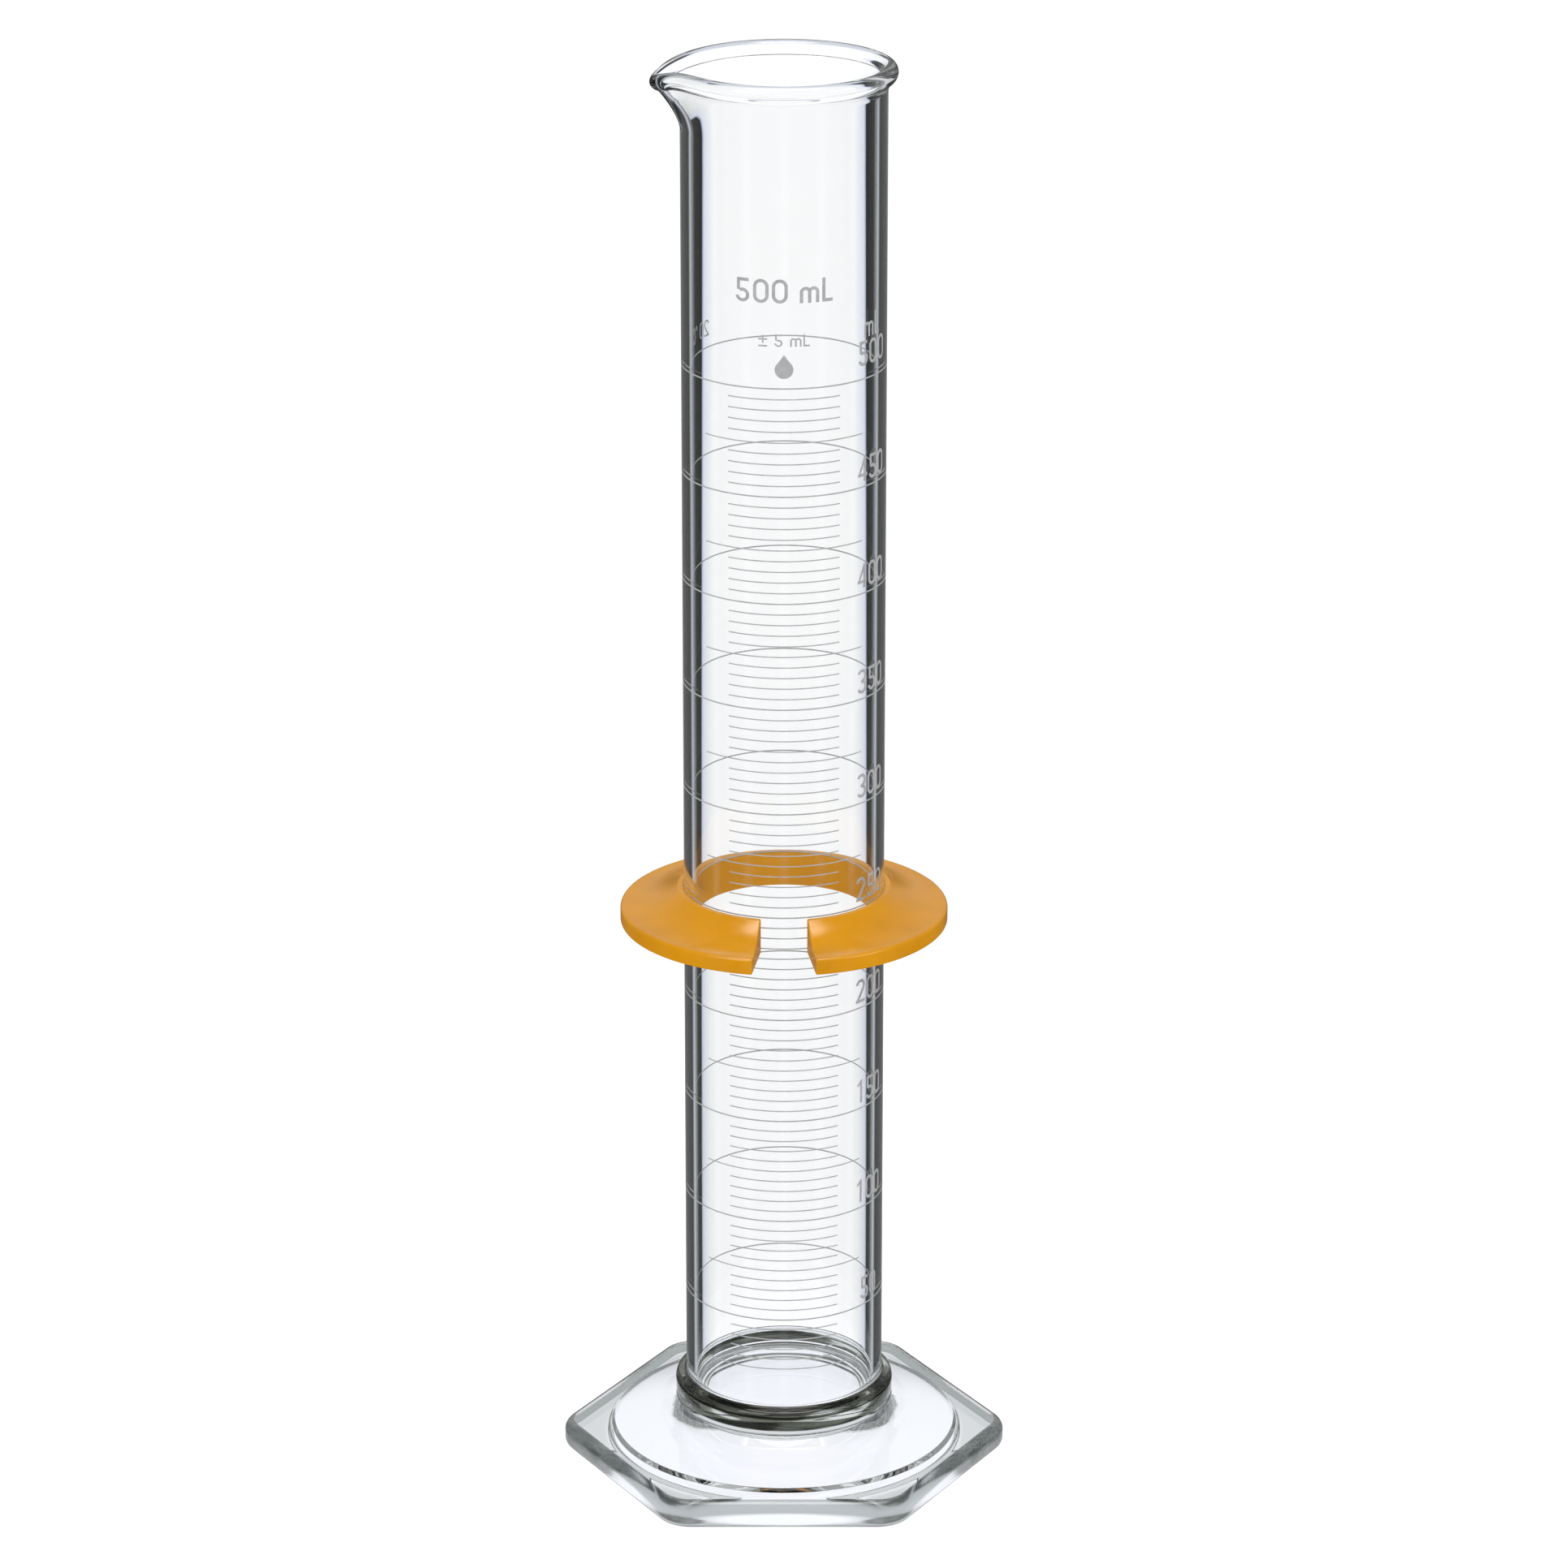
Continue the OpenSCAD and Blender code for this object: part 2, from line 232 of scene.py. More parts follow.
def loft(name, rings, slots, sharp_ring):
    """Closed mesh through rings of points in millimetres. slots gives the material of each band."""
    points, starts = [], []
    for points_of_ring in rings:
        starts.append(len(points))
        points.extend(points_of_ring)
    faces, face_slots = [], []
    for k in range(len(rings) - 1):
        a, b = len(rings[k]), len(rings[k + 1])
        for i in range(max(a, b)):
            j = (i + 1) % max(a, b)
            quad = [starts[k] + i % a, starts[k] + j % a, starts[k + 1] + j % b, starts[k + 1] + i % b]
            faces.append(list(dict.fromkeys(quad)))
            face_slots.append(slots[k])
    mesh = mesh_of(name, points, faces)
    mesh.polygons.foreach_set("material_index", face_slots)
    return finish_mesh(name, mesh, [(starts[sharp_ring], starts[sharp_ring] + len(rings[sharp_ring]))])


def mesh_of(name, points, faces):
    """Mesh in metres from points in millimetres."""
    mesh = bpy.data.meshes.new(name)
    mesh.from_pydata([tuple(p * MM) for p in np.array(points)], [], faces)
    return mesh


def finish_mesh(name, mesh, sharp_spans):
    """Object of a closed mesh, smooth but for the edges that lie inside one of the spans of vertices."""
    for edge in mesh.edges:
        a, b = edge.vertices
        edge.use_edge_sharp = any(lo <= a < hi and lo <= b < hi for lo, hi in sharp_spans)
    work = bmesh.new()
    work.from_mesh(mesh)
    bmesh.ops.recalc_face_normals(work, faces=work.faces)
    work.to_mesh(mesh)
    work.free()
    mesh.polygons.foreach_set("use_smooth", [True] * len(mesh.polygons))
    mesh.update()
    piece = bpy.data.objects.new(name, mesh)
    bpy.context.scene.collection.objects.link(piece)
    return piece


def give_materials(piece, *materials):
    for given in materials:
        piece.data.materials.append(given)


# ---- glass barrel ----


def barrel_azimuths():
    """Directions of the barrel's columns, closer together at the spout, and their angle from it."""
    t = np.linspace(-1, 1, BARREL_COLUMNS, endpoint=False)
    from_spout = math.pi * (t - COLUMN_CROWDING * np.sin(math.pi * t) / math.pi)
    return from_spout + math.pi, from_spout


def spout_share(from_spout, spread):
    """1 at the spout's tip, falling to 0 round the rim."""
    u = np.sqrt(from_spout**2 + SPOUT_TIP_SOFTNESS**2) / spread
    u_tip = SPOUT_TIP_SOFTNESS / spread
    return np.exp(u_tip**SPOUT_POWER - u**SPOUT_POWER)


def smooth(x):
    x = np.clip(x, 0, 1)
    return x * x * (3 - 2 * x)


def lip_middle(azimuths, share, end_z):
    """Grid of points midway through the lip's wall, from its base to its end, row by row."""
    mid_r = (SKIN_R + BORE_R) / 2
    low_rows = np.linspace(0, 1 - LIP_TOP_SHARE, LIP_LOW_ROWS, endpoint=False)
    rows = np.concatenate([low_rows, np.linspace(1 - LIP_TOP_SHARE, 1, LIP_TOP_ROWS)])
    z = LIP_BASE_Z + np.outer(rows, end_z - LIP_BASE_Z)
    flare = smooth((z - (end_z - FLARE_H)) / FLARE_H)
    rise = np.clip((z - SPOUT_ROOT_Z) / (end_z - SPOUT_ROOT_Z), 0, 1) ** SPOUT_RISE_POWER
    r = mid_r + (RIM_MID_R - mid_r) * ((1 - share) * flare + share * rise)
    r = r + (SPOUT_MID - RIM_MID_R) * share * rise
    return np.stack([r * np.cos(azimuths), r * np.sin(azimuths), z], 2)


def lip_rings(azimuths, from_spout):
    """Rings of the flared, spouted top: up the inside, over the bead and down the outside."""
    share = spout_share(from_spout, SPOUT_SPREAD)
    end_z = RIM_MID_Z - SPOUT_DROP * spout_share(from_spout, SPOUT_DIP_SPREAD)
    bead = RIM_BEAD_R - (RIM_BEAD_R - SPOUT_BEAD_R) * share
    surface = lip_middle(azimuths, share, end_z)
    around = np.roll(surface, -1, 1) - np.roll(surface, 1, 1)
    up = np.gradient(surface, axis=0)
    normal = np.cross(around, up)
    normal /= np.linalg.norm(normal, axis=2, keepdims=True)
    from_end = end_z - surface[:, :, 2]
    half_wall = (SKIN_R - BORE_R) / 2
    round_half = np.sqrt(np.clip(bead**2 - from_end**2, 0, None))
    half = (half_wall + round_half + np.sqrt((half_wall - round_half) ** 2 + BEAD_BLEND**2)) / 2
    half = np.where(from_end < 1e-6, bead, half)
    offset = normal * half[:, :, None]
    top_up = np.cross(normal[-1], around[-1])
    top_up /= np.linalg.norm(top_up, axis=1, keepdims=True)
    top_up *= np.sign(top_up[:, 2:])
    cap = []
    for b in np.linspace(-math.pi / 2, math.pi / 2, CAP_ROWS + 1)[1:-1]:
        way = math.sin(b) * normal[-1] + math.cos(b) * top_up
        cap.append(surface[-1] + way * bead[:, None])
    return list(surface - offset) + cap + list(surface + offset)[::-1]


def floor_path():
    """Across the inside floor and up its fillet to the straight bore, without the ends."""
    corners = [(0, FLOOR_Z, 0), (BORE_R, FLOOR_Z, FLOOR_FILLET), (BORE_R, STRAIGHT_LOW_Z, 0)]
    return fillet_path(corners, steps=14)[1:-1]


def weld_path():
    """Down the outside of the tube and over the weld bead to the seam."""
    corners = [
        (SKIN_R, STRAIGHT_LOW_Z, 0),
        (SKIN_R, WELD_TOP, 1.3),
        (WELD_R + 0.1, WELD_TOP - WELD_SHOULDER, 2.2),
        (WELD_R - 0.05, SEAM_Z + 0.1, 0.5),
        (SEAM_R, SEAM_Z, 0),
    ]
    return fillet_path(corners, steps=16)


def build_barrel(glass, fused, weld):
    azimuths, from_spout = barrel_azimuths()
    rings = [pole(FLOOR_Z)] + rings_of(floor_path(), azimuths)
    rings.append(ring(BORE_R, STRAIGHT_TOP_Z, azimuths))
    rings += lip_rings(azimuths, from_spout)
    rings.append(ring(SKIN_R, STRAIGHT_TOP_Z, azimuths))
    rings += rings_of(weld_path(), azimuths)
    seam = len(rings) - 1
    weld_first = max(k for k in range(seam) if rings[k][0][2] > WELD_TOP)
    rings += [ring(SEAM_MID_R, SEAM_Z, azimuths), pole(SEAM_Z)]
    # the weld bead takes the glass tinted with painted shade
    slots = [CLEAR] * weld_first + [PAINTED_SHADE] * (seam - weld_first) + [FUSED] * 2
    piece = loft("barrel_glass", rings, slots, seam)
    give_materials(piece, glass, fused, weld)
    return piece


# ---- glass foot ----


def hexagon(inset):
    """Outline of the rounded hexagon, moved in by inset."""
    core = (FOOT_AF / 2 - CORNER_R) / math.cos(math.pi / 6)
    radius = CORNER_R - inset
    points = []
    for k in range(6):
        corner = np.array([math.cos(k * math.pi / 3), math.sin(k * math.pi / 3)]) * core
        for a in np.linspace(-math.pi / 6, math.pi / 6, CORNER_STEPS):
            way = k * math.pi / 3 + a
            points.append(corner + radius * np.array([math.cos(way), math.sin(way)]))
        following = np.array([math.cos((k + 1) * math.pi / 3), math.sin((k + 1) * math.pi / 3)]) * core
        out = np.array([math.cos((k + 0.5) * math.pi / 3), math.sin((k + 0.5) * math.pi / 3)])
        for t in np.linspace(0, 1, FLAT_STEPS + 2)[1:-1]:
            points.append(corner * (1 - t) + following * t + radius * out)
    return np.array(points)


def hexagon_ring(inset, z):
    outline = hexagon(inset)
    return np.column_stack([outline, np.full(len(outline), z)])


def dome_path():
    """From the seam down the dome and its step to the flange."""
    corners = [
        (SEAM_R, SEAM_Z, 0),
        (SEAM_R + COVE_OUT, SEAM_Z - COVE_DROP, 0.6),
        (BOSS_R, BOSS_Z, 12),
        (DOME_R - DOME_STEP_OUT, FLANGE_T + DOME_STEP, 0.8),
        (DOME_R, FLANGE_T, 0.3),
        (DOME_R + 2.5, FLANGE_T, 0),
    ]
    return fillet_path(corners)[:-1]


def recess_path():
    """Up the wall of the recess and along its slope to its flat ceiling."""
    corners = [
        (RECESS_R + 0.5, 0, 0),
        (RECESS_R, 0, 0.4),
        (RECESS_R, RECESS_WALL, 1.0),
        (CEILING_R, RECESS_TOP, 14),
        (0, RECESS_TOP, 0),
    ]
    return fillet_path(corners, steps=12)[:-1]


def side_rings():
    """Down the hexagon's side, with its top and bottom edges rounded."""
    turns = np.linspace(0, math.pi / 2, EDGE_STEPS + 1)
    rounding = [(EDGE_R * (1 - math.sin(a)), EDGE_R * (1 - math.cos(a))) for a in turns]
    upper = [hexagon_ring(inset, FLANGE_T - fall) for inset, fall in rounding[1:]]
    lower = [hexagon_ring(inset, fall) for inset, fall in rounding[::-1]]
    return upper + lower


def between_rings(first, last, shares):
    return [first * (1 - t) + last * t for t in shares]


def build_foot(glass, fused, edge):
    outline = hexagon(0)
    azimuths = np.arctan2(outline[:, 1], outline[:, 0])
    rings = [pole(SEAM_Z), ring(SEAM_MID_R, SEAM_Z, azimuths)]
    seam = len(rings)
    rings += rings_of(dome_path(), azimuths)
    flange_inner = ring(DOME_R + PAST_CORNER, FLANGE_T, azimuths)
    rings += between_rings(flange_inner, hexagon_ring(EDGE_R, FLANGE_T), (0, 0.5, 0.95, 1))
    side_first = len(rings)
    rings += side_rings()
    side_last = len(rings) - 1
    sole_inner = ring(RECESS_R + PAST_CORNER, 0, azimuths)
    rings += between_rings(hexagon_ring(EDGE_R + 0.1, 0), sole_inner, (0, 0.5, 1))
    rings += rings_of(recess_path(), azimuths)
    rings.append(pole(RECESS_TOP))
    slots = [FUSED] * seam + [CLEAR] * (len(rings) - 1 - seam)
    # the upright sides take the glass tinted with painted shade
    slots[side_first:side_last] = [PAINTED_SHADE] * (side_last - side_first)
    piece = loft("foot_glass", rings, slots, seam)
    give_materials(piece, glass, fused, edge)
    return piece


# ---- bumper guard ----


def guard_section():
    """Closed section of the guard as (r, z) points, with their outward normals."""
    brim = np.array([GUARD_R - BRIM_EDGE, BRIM_T])
    lip = np.array([GUARD_BORE_R + HUB_LIP, HUB_H])
    across = lip - brim
    dip = np.array([across[1], -across[0]]) / np.linalg.norm(across)
    dip *= -np.sign(dip[1])
    shares = np.linspace(0, 1, SAUCER_STEPS + 1)[1:-1]
    saucer = [brim + across * t + dip * SAUCER_DIP * 4 * t * (1 - t) for t in shares]
    start = ((GUARD_BORE_R + GUARD_R) / 2, 0, 0)
    corners = [start, (GUARD_R, 0, 0.5), (GUARD_R, BRIM_T + BRIM_CROWN, 1.5)]
    corners += [(r, z, 0) for r, z in saucer]
    corners += [(lip[0], lip[1], 0.6), (GUARD_BORE_R, HUB_H, 0.4), (GUARD_BORE_R, 0, 0.4), start]
    points = np.array(fillet_path(corners, steps=6))[:-1]
    along = np.roll(points, -1, 0) - np.roll(points, 1, 0)
    normals = np.stack([along[:, 1], -along[:, 0]], 1)
    normals /= np.linalg.norm(normals, axis=1, keepdims=True)
    return points, normals


def guard_stations():
    """Sections from one face of the gap to the other: share of the way round, inset, and move along it.

    The few at each face shrink a little and step in, which rounds the face's edges."""
    turns = np.linspace(0, math.pi / 2, GAP_EDGE_STEPS + 1)
    rounding = [(GAP_EDGE_R * (1 - math.sin(a)), GAP_EDGE_R * (1 - math.cos(a))) for a in turns]
    first = [(0, inset, along) for inset, along in rounding]
    middle = [(v, 0, 0) for v in np.linspace(0, 1, GUARD_COLUMNS)[1:-1]]
    last = [(1, inset, -along) for inset, along in rounding[::-1]]
    return first + middle + last


def build_guard(plastic):
    points, normals = guard_section()
    flare = (GAP_OUTER - GAP_INNER) / 2 / (GUARD_R - GUARD_BORE_R)
    columns = []
    for v, inset, along in guard_stations():
        section = points - normals * inset
        r, z = section[:, 0], section[:, 1]
        half_gap = np.arcsin((GAP_INNER / 2 + flare * (r - GUARD_BORE_R)) / r)
        turn = -math.pi / 2 + half_gap + v * (2 * math.pi - 2 * half_gap) + along / r
        columns.append(np.stack([r * np.cos(turn), r * np.sin(turn), GUARD_Z + z], 1))
    count = len(points)
    last = (len(columns) - 1) * count
    faces = []
    for k in range(0, last, count):
        for i in range(count):
            j = (i + 1) % count
            faces.append([k + i, k + j, k + count + j, k + count + i])
    faces += [list(range(count)), list(range(last, last + count))]
    mesh = mesh_of("guard_ring", np.concatenate(columns), faces)
    piece = finish_mesh("guard_ring", mesh, [(0, count), (last, last + count)])
    give_materials(piece, plastic)
    return piece


# ---- shader nodes ----


def material(name):
    """New material with its node tree and Principled shader."""
    made = bpy.data.materials.new(name)
    made.use_nodes = True
    return made, made.node_tree, made.node_tree.nodes["Principled BSDF"]


def clear_glass(name, roughness):
    made, tree, shader = material(name)
    shader.inputs["Transmission Weight"].default_value = 1
    shader.inputs["IOR"].default_value = GLASS_IOR
    shader.inputs["Roughness"].default_value = roughness
    return made, tree, shader


def plug(tree, socket, value):
    """Gives a socket its value, which is a number, a colour or another node's output."""
    if isinstance(value, (int, float, tuple)):
        socket.default_value = value
    else:
        tree.links.new(value, socket)


def math_node(tree, operation, *values):
    node = tree.nodes.new("ShaderNodeMath")
    node.operation = operation
    for socket, value in zip(node.inputs, values):
        plug(tree, socket, value)
    return node.outputs[0]


def product(tree, first, *others):
    for other in others:
        first = math_node(tree, "MULTIPLY", first, other)
    return first


def step(tree, value, low, high, to_low, to_high, smoothly=True):
    """value between low and high, carried to the range from to_low to to_high."""
    node = tree.nodes.new("ShaderNodeMapRange")
    if smoothly:
        node.interpolation_type = "SMOOTHSTEP"
    sockets = ("From Min", "From Max", "To Min", "To Max")
    for socket, number in zip(sockets, (low, high, to_low, to_high)):
        plug(tree, node.inputs[socket], number)
    tree.links.new(value, node.inputs["Value"])
    return node.outputs["Result"]


def noise(tree, scale, detail=3.0, stretch=(1, 1, 1)):
    """Noise fixed to the object, with scale in features per metre."""
    place = tree.nodes.new("ShaderNodeTexCoord")
    mapping = tree.nodes.new("ShaderNodeMapping")
    mapping.inputs["Scale"].default_value = stretch
    texture = tree.nodes.new("ShaderNodeTexNoise")
    texture.inputs["Scale"].default_value = scale
    texture.inputs["Detail"].default_value = detail
    tree.links.new(place.outputs["Object"], mapping.inputs["Vector"])
    tree.links.new(mapping.outputs["Vector"], texture.inputs["Vector"])
    return texture.outputs["Fac"]


def object_xyz(tree):
    """The point's three coordinates on the object, in metres."""
    place = tree.nodes.new("ShaderNodeTexCoord")
    parts = tree.nodes.new("ShaderNodeSeparateXYZ")
    tree.links.new(place.outputs["Object"], parts.inputs[0])
    return parts.outputs


def from_middle(tree):
    """The point's distance from the object's origin, in metres."""
    place = tree.nodes.new("ShaderNodeTexCoord")
    length = tree.nodes.new("ShaderNodeVectorMath")
    length.operation = "LENGTH"
    tree.links.new(place.outputs["Object"], length.inputs[0])
    return length.outputs["Value"]


def tones(tree, value, stops):
    """Colour ramp over value, with (position, colour) stops."""
    ramp = tree.nodes.new("ShaderNodeValToRGB")
    elements = ramp.color_ramp.elements
    while len(elements) > 1:
        elements.remove(elements[0])
    elements[0].position, elements[0].color = stops[0][0], (*stops[0][1], 1)
    for position, colour in stops[1:]:
        elements.new(position).color = (*colour, 1)
    tree.links.new(value, ramp.inputs["Fac"])
    return ramp.outputs["Color"]


def bump(tree, shader, height, distance):
    node = tree.nodes.new("ShaderNodeBump")
    node.inputs["Distance"].default_value = distance
    node.inputs["Strength"].default_value = 1
    tree.links.new(height, node.inputs["Height"])
    tree.links.new(node.outputs["Normal"], shader.inputs["Normal"])


def emission(tree, colour=(1, 1, 1, 1)):
    node = tree.nodes.new("ShaderNodeEmission")
    plug(tree, node.inputs["Color"], colour)
    return node.outputs[0]


def background(tree, colour, strength):
    node = tree.nodes.new("ShaderNodeBackground")
    plug(tree, node.inputs["Color"], colour)
    plug(tree, node.inputs["Strength"], strength)
    return node.outputs[0]


def chosen(tree, switch, first, second):
    """First shader where switch is 0 and second where it is 1."""
    node = tree.nodes.new("ShaderNodeMixShader")
    tree.links.new(switch, node.inputs[0])
    tree.links.new(first, node.inputs[1])
    tree.links.new(second, node.inputs[2])
    return node.outputs[0]


# ---- materials ----


def glass_material(name, dark_tint, light_tint, wave_scale, wave_height):
    """Clear borosilicate with the faint waviness of drawn or pressed glass."""
    made, tree, shader = clear_glass(name, 0)
    colour = tones(tree, noise(tree, 14, 2.0), [(0.3, dark_tint), (0.7, light_tint)])
    tree.links.new(colour, shader.inputs["Base Color"])
    bump(tree, shader, noise(tree, wave_scale, 1.5, (1, 1, 0.25)), wave_height)
    return made


def weld_painted_shade_material():
    """The flame-worked bead, its tint painted shade: olive and dark, with brighter streaks that run round
    it.
    """
    made, tree, shader = clear_glass("weld_glass_painted_shade", 0.02)
    # dark and olive are painted shade in the glass's tint; clear is where that painted shade gives way
    dark, olive, clear = (0.008, 0.009, 0.006), (0.04, 0.044, 0.03), (0.75, 0.8, 0.74)
    shade_streaks = noise(tree, 60, 1.5, (1, 1, 6))
    colour = tones(tree, shade_streaks, [(0.42, dark), (0.56, olive), (0.66, clear)])
    tree.links.new(colour, shader.inputs["Base Color"])
    bump(tree, shader, noise(tree, 90, 1.0, (1, 1, 2)), 0.00005)
    return made


def edge_painted_shade_material():
    """The foot's upright faces: greenish like edge-on glass, darkened to a painted grey shade, and clearer
    in a lens-shaped patch of painted light on each flat.
    """
    made, tree, shader = clear_glass("edge_glass_painted_shade", 0.2)
    # the lens is a painted patch of light through the edge; the grey round it is painted shade
    lens_half_angle, lens_middle, lens_half_height = math.radians(24), 0.0032, 0.0019
    grey, clear = (0.27, 0.30, 0.288), (0.94, 0.96, 0.97)
    x, y, z = object_xyz(tree)
    azimuth = math_node(tree, "ARCTAN2", y, x)
    from_corner = math_node(tree, "PINGPONG", azimuth, math.pi / 6)
    from_flat = math_node(tree, "SUBTRACT", math.pi / 6, from_corner)
    along = math_node(tree, "DIVIDE", from_flat, lens_half_angle)
    up = math_node(tree, "DIVIDE", math_node(tree, "SUBTRACT", z, lens_middle), lens_half_height)
    off_painted_lens = math_node(tree, "ADD", product(tree, along, along), product(tree, up, up))
    wobble = product(tree, noise(tree, 90, 2.0), 0.25)
    share = product(tree, math_node(tree, "ADD", off_painted_lens, wobble), 0.5)
    colour = tones(tree, share, [(0.3, clear), (0.62, grey), (1, grey)])
    tree.links.new(colour, shader.inputs["Base Color"])
    bump(tree, shader, noise(tree, 60, 1.5), 0.00004)
    return made


def fused_material():
    """The face inside the weld, where two pieces are one body of glass: nothing is seen of it."""
    made, _, shader = material("fused_face")
    shader.inputs["Alpha"].default_value = 0
    return made


def enamel_material():
    """Fired light grey enamel: dull, faintly mottled, with a fine grain."""
    made, tree, shader = material("grey_enamel")
    tone = tones(tree, noise(tree, 420, 4.0), [(0.3, (0.30, 0.305, 0.31)), (0.7, (0.39, 0.395, 0.40))])
    rough = step(tree, noise(tree, 1500, 3.0), 0.3, 0.7, 0.45, 0.65, smoothly=False)
    tree.links.new(tone, shader.inputs["Base Color"])
    tree.links.new(rough, shader.inputs["Roughness"])
    bump(tree, shader, noise(tree, 6000, 2.0), 0.000004)
    return made


def plastic_material():
    """Yellow-orange moulded plastic, satin, slightly mottled and scuffed."""
    made, tree, shader = material("yellow_plastic")
    deep, middle, pale = (0.53, 0.22, 0.0), (0.57, 0.24, 0.0005), (0.61, 0.26, 0.001)
    tone = tones(tree, noise(tree, 70, 5.0), [(0.3, deep), (0.5, middle), (0.7, pale)])
    rough = step(tree, noise(tree, 260, 5.0), 0.3, 0.7, 0.14, 0.24, smoothly=False)
    tree.links.new(tone, shader.inputs["Base Color"])
    tree.links.new(rough, shader.inputs["Roughness"])
    bump(tree, shader, noise(tree, 900, 4.0), 0.000006)
    return made


def floor_material():
    """Pale matt floor that melts into the white room at its edge."""
    made, tree, shader = material("pale_floor")
    shader.inputs["Base Color"].default_value = (0.95, 0.95, 0.955, 1)
    shader.inputs["Roughness"].default_value = 0.9
    shader.inputs["Specular IOR Level"].default_value = 0
    away = step(tree, from_middle(tree), 0.3 * FLOOR_RADIUS, 0.9 * FLOOR_RADIUS, 0, 1)
    surface = chosen(tree, away, shader.outputs[0], emission(tree))
    tree.links.new(surface, tree.nodes["Material Output"].inputs["Surface"])
    return made


def table_material():
    """The lit table as the glass shows it, a glowing sheet with light and shade painted on: white under the
    dome, in painted soft shade under the flange.
    """
    made, tree, _ = material("lit_table")
    white, shade = (1.06, 1.07, 1.13), (0.74, 0.755, 0.775)
    white_to, shade_from = DOME_R * MM / TABLE_RAMP, (DOME_R + SHADE_BLEND) * MM / TABLE_RAMP
    share = math_node(tree, "DIVIDE", from_middle(tree), TABLE_RAMP)
    colour = tones(tree, share, [(0, white), (white_to, white), (shade_from, shade), (1, shade)])
    tree.links.new(emission(tree, colour), tree.nodes["Material Output"].inputs["Surface"])
    return made


# ---- the white room ----


def seen_through(tree, off_panel, z):
    """What a ray that goes straight through the glass meets: sharp panels, wider low down."""
    widen = step(tree, z, -0.42, -0.2, PANEL_LOW_EXTRA, 0)
    share = math_node(tree, "DIVIDE", off_panel, math_node(tree, "ADD", widen, PANEL_HALF))
    white = (PANEL_LIGHT,) * 3
    pale = (0.82 * PANEL_LIGHT, 0.86 * PANEL_LIGHT, 0.97 * PANEL_LIGHT)
    blue = (0.42, 0.46, 0.60)
    stops = [(0, white), (0.3, white), (0.46, pale), (0.5, blue), (0.52, DARK), (1, DARK)]
    return background(tree, tones(tree, product(tree, share, 0.5), stops), 1.0)


def seen_inside(tree, light, off_panel, z):
    """What a ray that was reflected inside the glass meets.

    Turned once across the whole piece, it sees the panels as a narrow glow. Turned upwards it sees the sky,
    turned otherwise it sees little, and turned more than once it sees an even grey."""
    glow = step(tree, off_panel, math.radians(1), math.radians(9), 0.75, 0.03)
    across = background(tree, (0.9, 0.94, 1.0, 1), glow)
    stray = background(tree, (0.96, 1.0, 0.9, 1), STRAY_LIGHT)
    sky = background(tree, (0.97, 0.98, 1.0, 1), SKY_LIGHT)
    tangled = background(tree, (0.94, 0.98, 0.97, 1), TANGLED_LIGHT)
    in_and_out = math_node(tree, "COMPARE", light["Transmission Depth"], 2, 0.5)
    level = chosen(tree, in_and_out, stray, across)
    once = chosen(tree, step(tree, z, 0.1, 0.25, 0, 1), level, sky)
    again = math_node(tree, "GREATER_THAN", light["Glossy Depth"], 1.5)
    return chosen(tree, again, once, tangled)


def seen_in_surface(tree, y, z):
    """What an outer surface reflects: a dim room, lighter behind, with a bright spot straight overhead."""
    lifted = step(tree, z, -0.05, 0.25, STRAY_LIGHT, 0.5)
    behind = step(tree, y, 0.3, 1.0, 0.2, 1.0)
    glint = step(tree, z, 0.93, 0.965, 0, GLINT_LIGHT)
    return background(tree, (1, 1, 1, 1), math_node(tree, "ADD", product(tree, lifted, behind), glint))


def seen_by_glass(tree, light, x, y, z):
    """All that glass and gloss see: panels all round, dim overhead and pale underfoot, or a room of its own
    for what an outer surface reflects."""
    azimuth = math_node(tree, "ARCTAN2", y, x)
    off_panel = math_node(tree, "PINGPONG", azimuth, PANEL_PITCH / 2)
    reflected = math_node(tree, "GREATER_THAN", light["Glossy Depth"], 0.5)
    level = chosen(tree, reflected, seen_through(tree, off_panel, z), seen_inside(tree, light, off_panel, z))
    overhead = background(tree, (0.95, 0.97, 1.0, 1), OVERHEAD_LIGHT)
    underfoot = background(tree, (0.88, 0.91, 1.0, 1), UNDERFOOT_LIGHT)
    through = chosen(tree, step(tree, z, 0.5, 0.62, 0, 1), level, overhead)
    through = chosen(tree, step(tree, z, -0.62, -0.5, 1, 0), through, underfoot)
    never_in = math_node(tree, "LESS_THAN", light["Transmission Depth"], 0.5)
    return chosen(tree, product(tree, never_in, reflected), through, seen_in_surface(tree, y, z))


def studio_world(scene):
    """White room for the eye and soft light for matt surfaces. Glass and gloss see a room of panels,
    whose dark gaps draw the edges of the glass."""
    world = bpy.data.worlds.new("studio")
    scene.world = world
    world.use_nodes = True
    world.cycles.sampling_method = "NONE"
    tree = world.node_tree
    tree.nodes.clear()
    place = tree.nodes.new("ShaderNodeTexCoord")
    way = tree.nodes.new("ShaderNodeVectorMath")
    way.operation = "NORMALIZE"
    tree.links.new(place.outputs["Generated"], way.inputs[0])
    parts = tree.nodes.new("ShaderNodeSeparateXYZ")
    tree.links.new(way.outputs[0], parts.inputs[0])
    x, y, z = parts.outputs
    light = tree.nodes.new("ShaderNodeLightPath").outputs
    soft = background(tree, (1, 1, 1, 1), step(tree, z, -1.0, 1.0, 0.42, 1.12))
    plain = background(tree, (1, 1, 1, 1), 1.0)
    lit = chosen(tree, light["Is Diffuse Ray"], seen_by_glass(tree, light, x, y, z), soft)
    out = tree.nodes.new("ShaderNodeOutputWorld")
    tree.links.new(chosen(tree, light["Is Camera Ray"], lit, plain), out.inputs["Surface"])


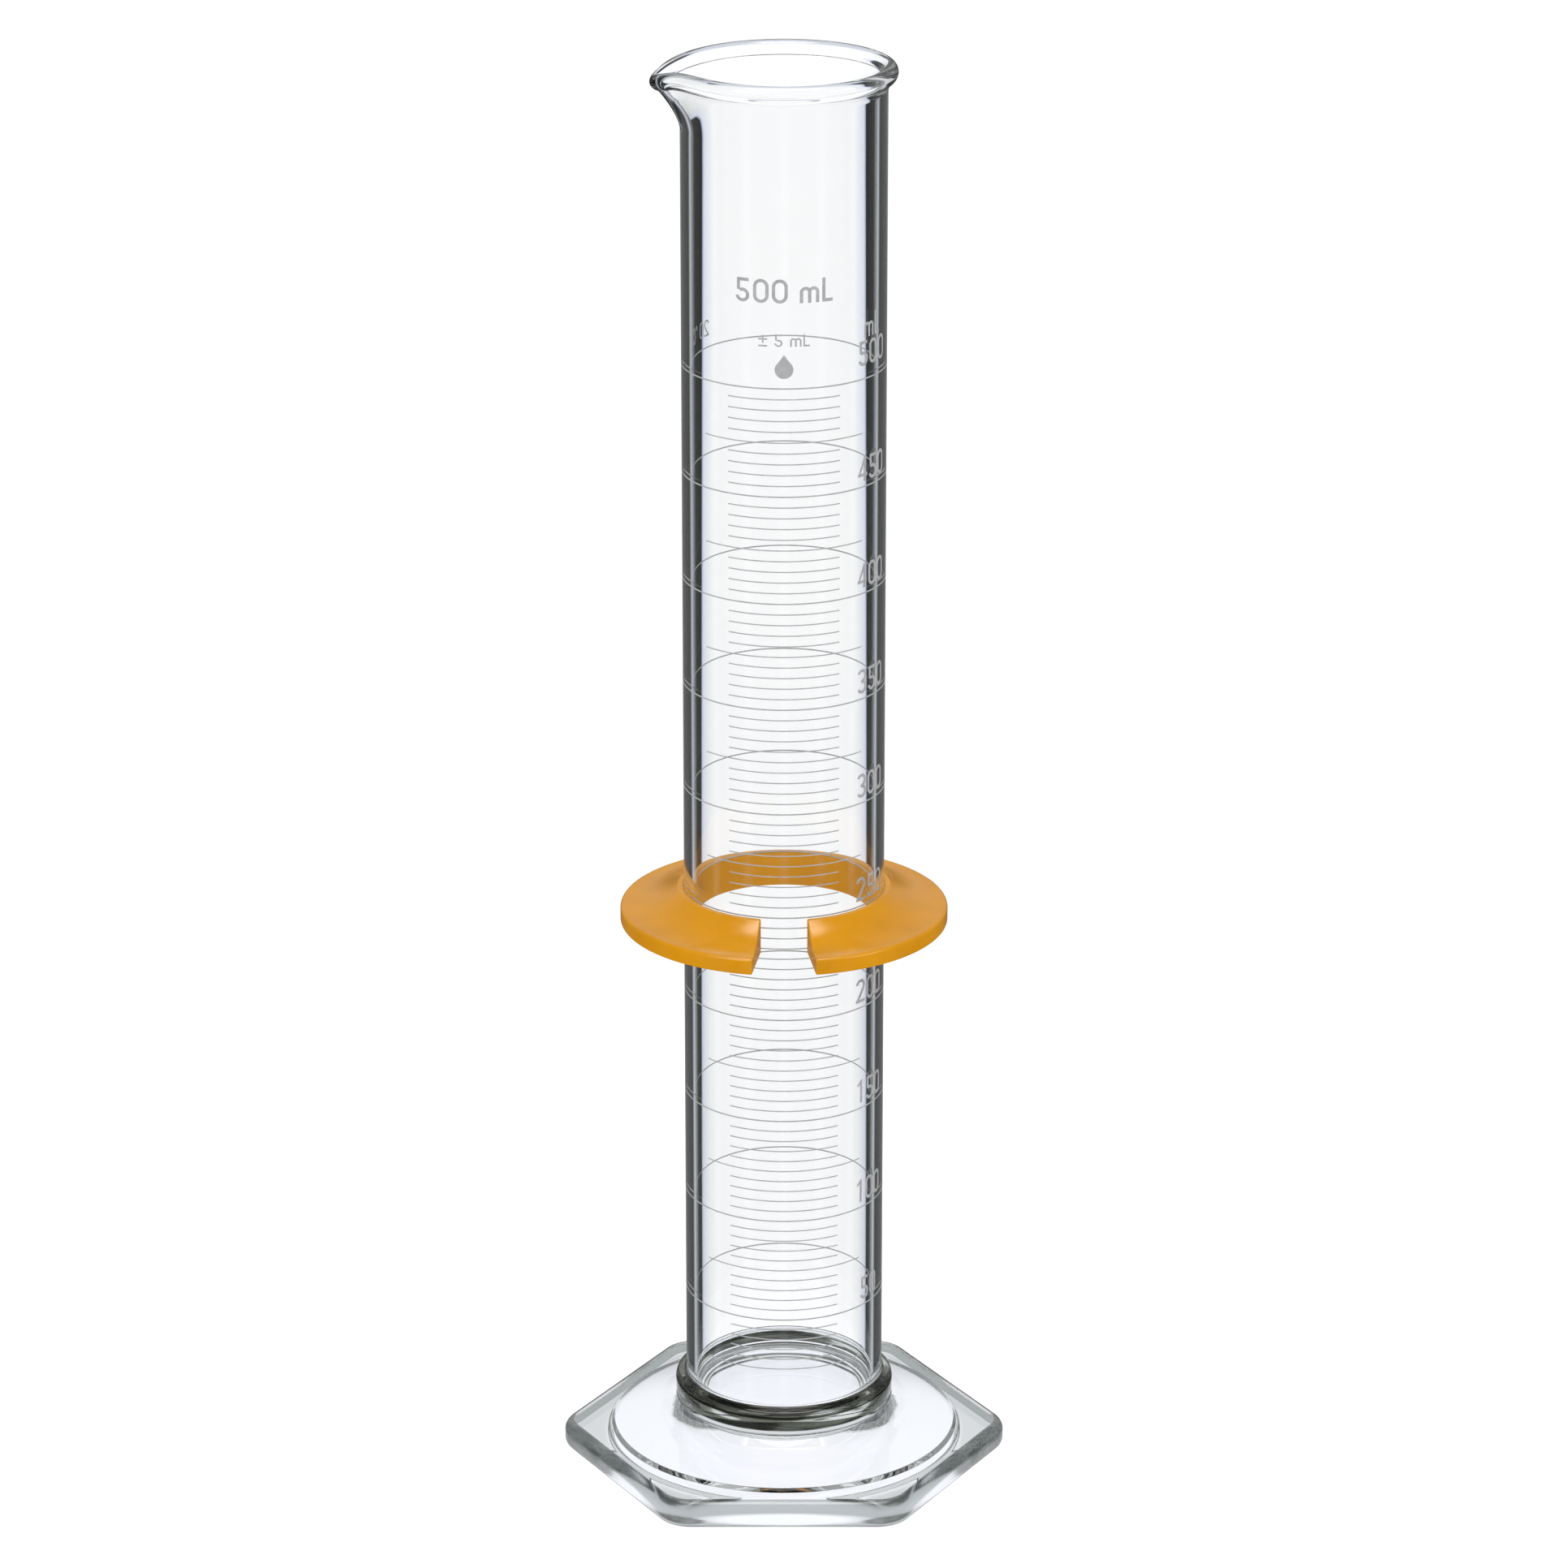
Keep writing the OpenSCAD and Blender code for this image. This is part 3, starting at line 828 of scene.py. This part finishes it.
def disc(name, radius, look):
    """Level round sheet just under the object."""
    mesh = bpy.data.meshes.new(name)
    work = bmesh.new()
    bmesh.ops.create_circle(work, cap_ends=True, radius=radius, segments=96)
    bmesh.ops.translate(work, verts=work.verts, vec=(0, 0, UNDER))
    work.to_mesh(mesh)
    work.free()
    sheet = bpy.data.objects.new(name, mesh)
    bpy.context.scene.collection.objects.link(sheet)
    give_materials(sheet, look)
    return sheet


def softbox(name, place, size, watts):
    """Square soft light aimed at the middle of the object, unseen through the glass."""
    lamp = bpy.data.lights.new(name, "AREA")
    lamp.size = size
    lamp.energy = watts
    box = bpy.data.objects.new(name, lamp)
    bpy.context.scene.collection.objects.link(box)
    box.location = place
    aim = Vector((0, 0, TOTAL_H * MM / 2)) - Vector(place)
    box.rotation_mode = "QUATERNION"
    box.rotation_quaternion = aim.to_track_quat("-Z", "Y")
    box.visible_transmission = False
    box.visible_camera = False


def build_studio(scene):
    """The room, a floor for the eye and a lit table that only the glass sees."""
    studio_world(scene)
    floor = disc("floor", FLOOR_RADIUS, floor_material())
    floor.visible_transmission = False
    floor.visible_glossy = False
    table = disc("lit_table", TABLE_RADIUS, table_material())
    table.visible_camera = False
    table.visible_diffuse = False
    table.visible_shadow = False
    for name, place, size, watts in SOFTBOXES:
        softbox(name, place, size, watts)
    scene.view_settings.view_transform = "Standard"
    scene.cycles.max_bounces = 32
    scene.cycles.transmission_bounces = 32
    scene.cycles.glossy_bounces = 16
    scene.cycles.transparent_max_bounces = 24


def build_camera(scene):
    camera = bpy.data.cameras.new("camera")
    camera.sensor_width = 36
    camera.lens = CAMERA_LENS
    camera.clip_start, camera.clip_end = 0.05, 20
    holder = bpy.data.objects.new("camera", camera)
    scene.collection.objects.link(holder)
    holder.location = (0, -CAMERA_BACK, CAMERA_HEIGHT)
    holder.rotation_euler = (math.pi / 2 - CAMERA_PITCH, 0, 0)
    scene.camera = holder


def let_light_through(piece):
    """Lamps and soft light pass clear glass, so that nothing under it is left in a hard shadow."""
    piece.visible_diffuse = False
    piece.visible_shadow = False


# ---- the object ----

scene = bpy.context.scene
build_camera(scene)
build_studio(scene)

tube_glass = glass_material("tube_glass", (0.97, 0.978, 0.985), (0.985, 0.99, 0.99), 22, 0.00002)
pressed_glass = glass_material("pressed_glass", (0.95, 0.965, 0.965), (0.975, 0.985, 0.985), 60, 0.00005)
fused_face = fused_material()
enamel = enamel_material()

barrel = build_barrel(tube_glass, fused_face, weld_painted_shade_material())
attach(barrel, "cylinder")
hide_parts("barrel")
let_light_through(barrel)

foot = build_foot(pressed_glass, fused_face, edge_painted_shade_material())
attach(foot, "cylinder")
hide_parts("foot")
let_light_through(foot)

guard = build_guard(plastic_material())
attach(guard, "guard")
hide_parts("bumper_guard")

for name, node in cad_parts.items():
    if name not in ("barrel", "foot", "bumper_guard"):
        node.data.materials.clear()
        node.data.materials.append(enamel)

bpy.context.view_layer.update()
